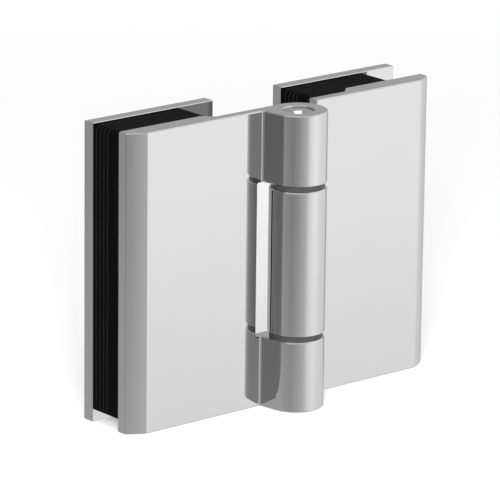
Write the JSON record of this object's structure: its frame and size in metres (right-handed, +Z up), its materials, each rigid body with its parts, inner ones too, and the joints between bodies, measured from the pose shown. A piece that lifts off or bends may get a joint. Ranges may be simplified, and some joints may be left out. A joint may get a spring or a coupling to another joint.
{
  "type": "glass-to-glass bifold hinge",
  "caption": "Polished bifold hinge that joins glass panels edge to edge: clamp leaves with back plates and rubber layers fold about a pinned barrel.",
  "frame": {"origin": "under the middle of the whole hinge, laid flat open, on the surface it stands on", "axes": "+X across the leaves from left to right, +Y from the barrel towards the back plates, +Z up along the pin"},
  "size_m": [0.115, 0.036, 0.09],
  "materials": {
    "polished_chrome": "mirror-polished chrome plate",
    "black_rubber": "black rubber sheet, satin",
    "grey_plastic": "dark grey turned plastic",
    "bright_steel": "bright turned steel"
  },
  "bodies": {
    "left": {"left_leaf": "polished_chrome", "left_back_plate": "polished_chrome", "left_gasket_1": "black_rubber", "left_gasket_2": "black_rubber", "left_gasket_3": "black_rubber", "left_gasket_4": "black_rubber", "left_gasket_5": "black_rubber", "left_lower_screw": "bright_steel", "left_upper_screw": "bright_steel", "hinge_pin": "bright_steel", "lower_washer": "grey_plastic", "upper_washer": "grey_plastic"},
    "right": {"right_leaf": "polished_chrome", "right_back_plate": "polished_chrome", "right_gasket_1": "black_rubber", "right_gasket_2": "black_rubber", "right_gasket_3": "black_rubber", "right_gasket_4": "black_rubber", "right_gasket_5": "black_rubber", "right_lower_screw": "bright_steel", "right_upper_screw": "bright_steel", "lower_bush": "grey_plastic", "upper_bush": "grey_plastic"}
  },
  "joints": [
    {"name": "fold", "type": "hinge", "parent": "left", "child": "right", "pos_m": [0, -0.0095, 0.045], "axis": [0, 0, 1], "range_deg": [-180, 0]}
  ]
}
